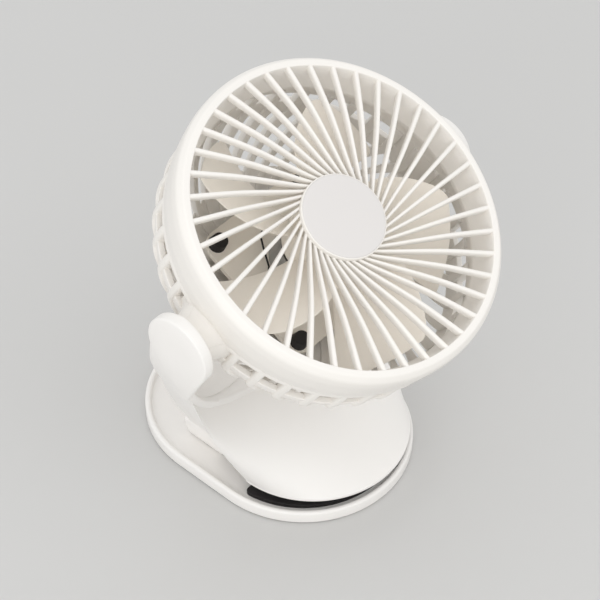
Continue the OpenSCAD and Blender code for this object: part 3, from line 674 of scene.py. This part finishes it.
def bore(section):
    """Round solid that runs along Y: each section point is (radius, y)."""
    turn = np.linspace(0, 2 * math.pi, 64, endpoint=False)
    radius, y = np.array(section, float)[:, :1], np.array(section, float)[:, 1:]
    return np.stack([radius * np.cos(turn), y + 0 * turn, radius * np.sin(turn)], -1)


def pierced(solid, holes):
    """Skin of a solid less some others, by an exact Boolean."""
    made = []
    for vertices, groups in (solid, *holes):
        mesh = bpy.data.meshes.new("work")
        faces = [face for group in outward(vertices, groups) for face in group.tolist()]
        mesh.from_pydata(vertices.tolist(), [], faces)
        made.append(bpy.data.objects.new("work", mesh))
        bpy.context.scene.collection.objects.link(made[-1])
    for hole in made[1:]:
        made[0].modifiers.new("hole", "BOOLEAN").object = hole
    done = made[0].evaluated_get(bpy.context.evaluated_depsgraph_get()).to_mesh()
    vertices = np.array([vertex.co for vertex in done.vertices])
    sizes = {}
    for polygon in done.polygons:
        sizes.setdefault(len(polygon.vertices), []).append(list(polygon.vertices))
    for one in made:
        bpy.data.meshes.remove(one.data)
    return vertices, [np.array(faces) for faces in sizes.values()]


button_z, button_wall, button_bore, flange_room, well_end = 47.5, 17.6, 5.2, 6.6, 28
light_x, light_bore = 9.5, 1.15
port_x, port_z, port_half, port_half_high, port_corner = 21, 30, 4.65, 1.75, 1.7
button_well = bore([(flange_room, 11), (flange_room, button_wall), (button_bore, button_wall),
                    (button_bore, well_end)]) + [0, 0, button_z]
light_well = bore([(light_bore, 16), (light_bore, well_end)]) + [light_x, 0, button_z]
port_outline = rounded([(-port_half, -port_half_high, port_corner),
                        (port_half, -port_half_high, port_corner),
                        (port_half, port_half_high, port_corner),
                        (-port_half, port_half_high, port_corner)], 8)
port_slot = slab(port_outline, [[9, 0], [30, 0]])[..., [0, 2, 1]] + [port_x, 0, port_z]
shell = pierced(skin(pedestal), [skin(hole) for hole in (button_well, light_well, port_slot)])
piece("yoke_shell", [shell, skin(foot), skin(lever()), skin(arm(-1)), skin(arm(1))],
      "yoke", white, ["yoke_body"], 32)
dress(white, "bottom_cover")
dress(pin_steel, "cover_screws")


# ---------------------------------------------------------------- arm caps and tilt hinge
# A white teardrop cap closes the top of each arm. It is pressed in, stands a hair proud of the
# arm, and has a narrow groove all round. Under it a steel pin and a black washer hold the ear.

cap_tip, cap_depth, cap_corner = 95.5, 81.6, 1.6
# Rows up the cap's edge: share of its depth, inset, and drop below the arm's outer face.
cap_edge = np.array([(0, 0.3, 0), (0.3, 0.06, 0), (0.8, 0.06, 0), (1, 0.12, 0.34),
                     (1, 0.3, 0.14), (1, 0.6, 0.03), (1, 0.95, 0)])
cap_shares = np.array([0.93, 0.8, 0.6, 0.4, 0.2, 0.08])


def cap(side):
    """Teardrop: an arc about the tilt axis and two straight sides that meet at the tip. Rows go
    up the edge and then in to the middle, on the yoke's outer ball or its flat."""
    reach = pivot[2] - cap_tip
    lean = math.asin(arm_top_radius / reach)
    turn = np.linspace(math.pi + lean, -lean, 60)
    arc = np.stack([arm_top_radius * np.cos(turn), arm_top_radius * np.sin(turn)], -1)
    ends = rounded([(*arc[-1], 0), (0, -reach, cap_corner), (*arc[0], 0)], 6)
    sides = np.linspace(0, 1, 16)[1:-1, None]
    outline = np.vstack([arc, arc[-1] + (ends[1] - arc[-1]) * sides, ends[1:-1],
                         ends[-2] + (arc[0] - ends[-2]) * sides])
    rim = slab(outline, cap_edge[:, :2])
    face = rim[-1:] * np.stack([cap_shares, cap_shares, 0 * cap_shares + 1], -1)[:, None]
    rows = np.vstack([rim, face])
    drop = np.concatenate([cap_edge[:, 2], 0 * cap_shares])[:, None]
    y, z = rows[..., 0], rows[..., 1]
    off_axis = np.hypot(y, z)
    outer = np.minimum(np.sqrt(arm_radius ** 2 - off_axis ** 2), arm_out) - drop
    inner = np.sqrt(cap_depth ** 2 - off_axis ** 2)
    x = inner + (outer - inner) * rows[..., 2]
    return np.stack([side * x, y + pivot[1], z + pivot[2]], -1)


for name, node, side in (("cap_left", "left_arm_cap", -1), ("cap_right", "right_arm_cap", 1)):
    piece(name, [skin(cap(side))], "yoke", white, [node], 50)
dress(pin_steel, "pivot_pins")
dress(black_rubber, "friction_washers")


# ---------------------------------------------------------------- front guard
# One white moulding: a round ring with a rolled lip, forty straight ribs that swirl about the
# hub and widen towards the ring, the hub seat, and the front of both ears.

fan_axis = np.array(joints["fan_spin"]["axis"])
fan_axis /= np.linalg.norm(fan_axis)
across_axis = np.array([1.0, 0, 0])
up_axis = np.cross(fan_axis, across_axis)


def in_head(points):
    """Points given along the tilt axis, upwards across the fan, and forward along its axis."""
    return pivot + points @ np.stack([across_axis, up_axis, fan_axis])


def turned(section, facets=192):
    """Surface of revolution: each section point (radius, forward) goes round the fan's axis."""
    turn = np.linspace(0, 2 * math.pi, facets, endpoint=False)
    radius, forward = section[:, :1], section[:, 1:]
    return np.stack([radius * np.cos(turn), radius * np.sin(turn), forward + 0 * turn], -1)


def spun(points, angle):
    """Points turned about the fan's axis by an angle in degrees."""
    turn = math.radians(angle)
    spin = np.array([[math.cos(turn), math.sin(turn), 0], [-math.sin(turn), math.cos(turn), 0],
                     [0, 0, 1]])
    return points @ spin


guard_white = moulded("white_guard", colour(245, 241, 235), 0.42)
ring_section = rounded([(67.3, 8, 0.3), (69.3, 8, 0.5), (70.6, 15, 12), (71.2, 22.5, 12),
                        (70.9, 26.7, 4), (68.8, 29.4, 1.3), (66.0, 29.4, 0.5),
                        (65.5, 26.4, 3), (62.6, 17, 0.7),
                        (62.6, 15.2, 0.3), (64.3, 15.2, 0.3), (66.9, 25.8, 1), (69, 25.2, 0.6),
                        (68.4, 15, 8)], 6)
hub_seat_section = rounded([(17.75, 22.3, 0.6), (17.75, 24.2, 0.2), (18.65, 24.4, 0.3),
                            (18.65, 26.6, 0.35), (18.15, 26.8, 0.1), (18.1, 25.0, 0)], 4, False)
hub_seat_section = np.vstack([[0.5, 22.3], hub_seat_section, [0.5, 24.9]])
rib_count, rib_phase, rib_offset = 40, 7.94, 13.3
rib_hub_wide, rib_ring_wide, rib_hub_deep, rib_deep = 1.3, 2.2, 1.9, 3.3
rib_top, rib_rise = 29.2, 4.9
ear_face, ear_radius, ear_flare, ear_reach = 79.3, 10.4, 6.0, 14.6
guard_split = 8.0


def smoothstep(value):
    """0 below 0, 1 above 1, and 3 v^2 - 2 v^3 between."""
    value = np.clip(value, 0, 1)
    return value * value * (3 - 2 * value)


def rib():
    """One rib: a slim section, round in front, that stands off the fan's axis. It widens evenly
    from the hub to the ring's wall, its top rises on a smooth step from r 5 to r 50, and it is
    shallow as far as r 11 and deep from r 16 on."""
    out = np.concatenate([np.linspace(11, 61, 22), [63.2, 64.4, 65.0]])[:, None]
    top = rib_top - rib_rise * smoothstep((50 - out) / 45)
    deep = rib_deep + (rib_hub_deep - rib_deep) * smoothstep((16 - out) / 5)
    wide = rib_hub_wide + (rib_ring_wide - rib_hub_wide) * np.clip((out - 13) / 50, 0, 1)
    section = rounded([(-0.46, -1, 0.12), (0.46, -1, 0.12), (0.5, 0, 0.36), (-0.5, 0, 0.36)], 5)
    across, down = section.T
    return np.stack([out + 0 * across, across * wide - rib_offset, top + down * deep], -1)


def ear(side, cut, front):
    """Ear for the tilt pin: it flares from a round face out on the tilt axis into the ring. The
    radius grows inwards on a quarter of an ellipse. Only the part in front of a plane, or
    behind it, belongs to this piece."""
    face_inward, face_inset = [0, 0.01, 0.35, 0.8], [ear_radius - 0.2, 0.8, 0.25, 0]
    flare_inward = np.linspace(1.6, ear_reach - 0.1, 14)
    inward = np.concatenate([face_inward, flare_inward])[:, None]
    inset = np.concatenate([face_inset, 0 * flare_inward])[:, None]
    ellipse = np.sqrt(np.clip(1 - (inward / ear_reach) ** 2, 0, 1))
    radius = ear_radius + ear_flare * (1 - ellipse) - inset
    start = np.arcsin(np.clip(cut / radius, -1, 1))
    turn = np.linspace(0, 1, 40)[None]
    if front:
        angle = start + (math.pi - 2 * start) * turn
    else:
        angle = math.pi - start + (math.pi + 2 * start) * turn
    return np.stack([side * (ear_face - inward + 0 * angle), radius * np.cos(angle),
                     radius * np.sin(angle)], -1)


ribs = [spun(rib(), rib_phase + 360 / rib_count * k) for k in range(rib_count)]
guard_skins = [skin(in_head(turned(ring_section)), closed=True),
               skin(in_head(turned(hub_seat_section, 96)))]
guard_skins += [skin(in_head(one)) for one in ribs]
guard_skins += [skin(in_head(ear(side, guard_split, True))) for side in (-1, 1)]
piece("front_grille", guard_skins, "head", guard_white, ["front_guard"], 38)


# ---------------------------------------------------------------- hub cap
# A plain pale grey disc of moulded plastic, very slightly domed. It is pressed into the thin
# white collar of the hub seat.

cap_white = moulded("white_cap", colour(226, 222, 219), 0.40)
dome = np.linspace(16.6, 0.4, 12)
dome_top, dome_drop = 27.2, 0.28
hub_section = np.vstack([[0.4, 25.05],
                         rounded([(18.1, 25.05, 0), (18.1, 26.8, 0.15), (17.3, 26.95, 0.5)],
                                 5, False),
                         np.stack([dome, dome_top - dome_drop * (dome / 17) ** 2], -1)])
piece("hub_disc", [skin(in_head(turned(hub_section)))], "head", cap_white,
      ["hub_cap"], 30)


# ---------------------------------------------------------------- rear guard
# The rear shell, one white moulding: thirty-six swept vanes between a front hoop, a hoop behind
# the side windows and a round back, with four posts for the motor and the rear of both ears.

vane_count, vane_phase, vane_swing = 36, 3.3, 34
vane_front_thick, vane_thick, vane_back_thick = 4.0, 2.6, 1.3
vane_deep, vane_back_deep = 5.0, 2.4
vane_line = through([(69.2, 7.9), (69.4, 4), (69.4, 0), (69.0, -6), (67.4, -12), (63.1, -18.2),
                     (54.6, -25.3), (48, -28.7), (42, -30.8), (31, -33.8), (25, -34.6)], 5)


def vane():
    """One vane: a rounded section carried along the shell's outline. It turns about the axis as
    it runs in from r 68.5 to r 28, and grows thin and shallow towards the round back."""
    radius, back = vane_line.T
    turn = np.radians(vane_swing * np.clip((68.5 - radius) / (68.5 - 28), 0, 1) ** 0.85)
    line = np.stack([radius * np.cos(turn), radius * np.sin(turn), back], -1)
    along = np.gradient(line, axis=0)
    along /= np.linalg.norm(along, axis=1)[:, None]
    slope = np.gradient(vane_line, axis=0)
    slope /= np.hypot(*slope.T)[:, None]
    normal = np.stack([slope[:, 1] * np.cos(turn), slope[:, 1] * np.sin(turn), -slope[:, 0]], -1)
    side = np.cross(along, normal)
    side /= np.linalg.norm(side, axis=1)[:, None]
    shape = rounded([(-0.5, -1, 0.1), (0.5, -1, 0.1), (0.5, 0, 0.34), (-0.5, 0, 0.34)], 5)
    deep = vane_deep + (vane_back_deep - vane_deep) * smoothstep((60 - radius) / 25)
    wide = (vane_thick + (vane_front_thick - vane_thick) * smoothstep((radius - 60.5) / 5)
            + (vane_back_thick - vane_thick) * smoothstep((50 - radius) / 25))
    return (line[:, None] + side[:, None] * (shape[:, 0][None, :, None] * wide[:, None, None])
            - normal[:, None] * (shape[:, 1][None, :, None] * deep[:, None, None]))


hoop_front = rounded([(65.6, 5.4, 0.4), (69.2, 5.4, 0.35), (69.2, 7.9, 0.3), (67.3, 7.9, 0.2),
                      (67.1, 11.8, 0.3), (65.6, 11.8, 0.3)], 4)
hoop_back = rounded([(65.9, -2.8, 0.5), (68.7, -2.8, 0.4), (68.0, -6.5, 12), (66.2, -11.2, 0.8),
                     (64.4, -11.0, 0.5)], 5)
back_plate = rounded([(0.4, -36, 0), (20, -36, 2), (28.5, -35.2, 4), (42, -31.4, 8),
                      (48, -28.6, 0.6), (47.2, -26.9, 0.6), (41, -29.4, 8), (28, -33, 4),
                      (0.4, -33, 0)], 6, False)
post_count, post_place, post_half = 4, 37, 3.6
post_near, post_far = post_place - post_half, post_place + post_half
post = slab(rounded([(post_far, -post_half, 3.5), (post_far, post_half, 3.5),
                     (post_near, post_half, 3.5), (post_near, -post_half, 3.5)], 8),
            edged(-31.5, -21, 0.3))
rear_skins = [skin(in_head(spun(vane(), vane_phase + 360 / vane_count * k)))
              for k in range(vane_count)]
rear_skins += [skin(in_head(turned(hoop)), closed=True) for hoop in (hoop_front, hoop_back)]
rear_skins.append(skin(in_head(turned(back_plate))))
rear_skins += [skin(in_head(spun(post, 45 + 360 / post_count * k))) for k in range(post_count)]
rear_skins += [skin(in_head(ear(side, guard_split - 0.1, False))) for side in (-1, 1)]
piece("rear_grille", rear_skins, "head", guard_white, ["rear_guard"], 38)


# ---------------------------------------------------------------- fan blades
# Five blades and a domed hub, moulded in one from a glossier plastic. Their pale warm cream is
# partly their own colour and partly painted light, raised to stand in for the light that fills
# the head. The hub is pressed on the motor's shaft and held by a steel nut.

# The blades' near-white warm cream is partly their own colour and partly painted light for the
# light inside the head.
blade_plastic = moulded("blade_cream", colour(254, 247, 236), 0.34, 0.004)
blade_count, blade_root, blade_tip, blade_thick = 5, 14.2, 58.0, 1.6
root_span, tip_span, blade_phase, blade_sweep = 66, 38.5, -17.5, 0.95
blade_rear, blade_climb, root_lift, root_flatten, blade_camber = -7, 23, 5.5, 2.5, 1.6
corner_part, corner_cut = 0.12, 0.1


def blade():
    """One blade as closed loops from root to tip. A loop runs along the rear face to the front
    edge and back along the front face, thinning to both edges. It spans fewer degrees towards
    the tip, and its front edge turns by blade_sweep degrees for each millimetre inwards. It
    climbs evenly from rear to front with a sine of camber, and higher at the root. The corners
    of the tip are quarters of an ellipse."""
    straight_part = 1 - corner_part
    tip_steps = np.sin(np.linspace(0.15, math.pi / 2, 10))
    up = np.concatenate([np.linspace(0, straight_part, 22),
                         straight_part + corner_part * tip_steps])[:, None]
    past = np.clip(up - straight_part, 0, 1) / (corner_part + 0.0005)
    round_tip = 1 - np.sqrt(np.clip(1 - past ** 2, 0, 1))
    chord = (1 - np.cos(np.linspace(0, math.pi, 30))) / 2
    face = np.concatenate([[0], -np.ones(28), [0], np.ones(28)])[None]
    chord = np.concatenate([chord, chord[-2:0:-1]])[None]
    chord_in = 0.5 + (chord - 0.5) * (1 - corner_cut * round_tip)
    radius = blade_root + (blade_tip - blade_root) * up
    span = root_span + (tip_span - root_span) * up ** 0.85
    turn = np.radians(blade_phase + blade_sweep * (blade_tip - radius) - span * (1 - chord_in))
    climb = (blade_rear + blade_climb * chord_in + (1 - up) * (root_lift - root_flatten * chord_in)
             + blade_camber * np.sin(math.pi * chord_in))
    thick = blade_thick / 2 * (1 - (2 * chord - 1) ** 6) ** 0.5 * (1 - 0.45 * up)
    return np.stack([radius * np.cos(turn), radius * np.sin(turn), climb + face * thick], -1)


rotor_section = rounded([(13.2, -3, 0.3), (15, -3, 0.3), (15, 20.5, 3.5), (6, 21.0, 8),
                         (4.2, 20.5, 0.5), (4.2, 18.4, 0), (13.2, 18.4, 1.5)], 6)
boss_section = rounded([(1.5, 0, 0.2), (4, 0, 0.3), (4.3, 20.4, 0.3), (1.5, 20.4, 0.2)], 3)
rotor_skins = [skin(in_head(spun(blade(), 360 / blade_count * k))) for k in range(blade_count)]
rotor_skins += [skin(in_head(turned(section, 128)), closed=True)
                for section in (rotor_section, boss_section)]
piece("fan_rotor", rotor_skins, "rotor", blade_plastic, ["fan_blades"], 45)
dress(pin_steel, "blade_nut")


# ---------------------------------------------------------------- motor
# A plated steel can in a square cream plate, whose pale cream is partly its own colour and partly
# painted light, on four black rubber dampers, each with a screw to a post of the rear guard. A
# thin black lead runs from it to the left ear.

def wound(name, base, gap):
    """Copper wire wound in turns: a sine of the height in its relief, and the same sine as painted
    shade in its tone, darker in the grooves between the turns.
    """
    finish = Finish(name, Metallic=1.0, Roughness=0.35)
    turns_and_groove_shade = finish.node("TexWave", {"bands_direction": "Z"},
                        {"Vector": finish.place, "Scale": 1000 / gap / 20, "Distortion": 1.5})
    # Painted shade: the low half of each turn is darker, in the grooves between the wires.
    finish.set("Base Color", finish.blend(turns_and_groove_shade, shade(base, 0.5), base))
    finish.relief(turns_and_groove_shade, 0.15)
    return finish


# The plate's near-white cream is partly its own colour and partly painted light for the light
# inside the head.
dress(moulded("cream_plastic", colour(254, 247, 236), 0.5), "motor_mount")
dress(black_rubber, "motor_dampers")
dress(steel("zinc_can", colour(196, 198, 200), 0.38, (1, 1, 0.1), 1.2), "motor_can")
dress(steel("bronze", colour(196, 152, 92), 0.42, (1, 1, 1), 0.5), "motor_bearings")
dress(wound("copper_coil", colour(200, 116, 66), 0.5), "motor_armature")
dress(rubber("black_lead", colour(30, 28, 28)), "motor_lead")
dress(pin_steel, "mount_screws", "motor_shaft")


# ---------------------------------------------------------------- speed button, port and light
# A grey push button stands in the rear wall with a small milky light beside it and the metal
# shell of the charge port below. Behind them sit the board and the cell.

button_grey = moulded("button_grey", colour(206, 203, 198), 0.45)
button_section = rounded([(0.3, 13.8, 0), (5.6, 13.8, 0.2), (5.6, 14.6, 0.2), (4.9, 14.6, 0.1),
                          (4.9, 20.4, 0.8), (3.4, 20.4, 0.6), (0.3, 20.1, 0)], 5, False)
piece("round_button", [skin(bore(button_section) + [0, 0, button_z])], "button", button_grey,
      ["speed_button"], 35)


def solder_mask(name, base, track):
    """Green lacquer over copper: lighter thin tracks in a running bond, and a wavy gloss."""
    finish = Finish(name, Specular_IOR_Level=0.5)
    tracks = finish.node("TexBrick", {"offset": 0.5},
                         {"Vector": finish.place, "Scale": 220.0, "Mortar Size": 0.06,
                          "Color1": (0, 0, 0), "Color2": (0, 0, 0), "Mortar": (1, 1, 1)})
    finish.set("Base Color", finish.blend(tracks, base, track))
    finish.set("Roughness", finish.noise(6) * 0.15 + 0.3)
    return finish


dress(solder_mask("board", colour(22, 84, 52), colour(58, 128, 84)), "circuit_board")
dress(moulded("cell_wrap", colour(58, 92, 160), 0.3, 0.02), "battery_cell")
dress(moulded("light_pipe", colour(232, 236, 232), 0.25), "indicator_light")
dress(pin_steel, "charge_port")
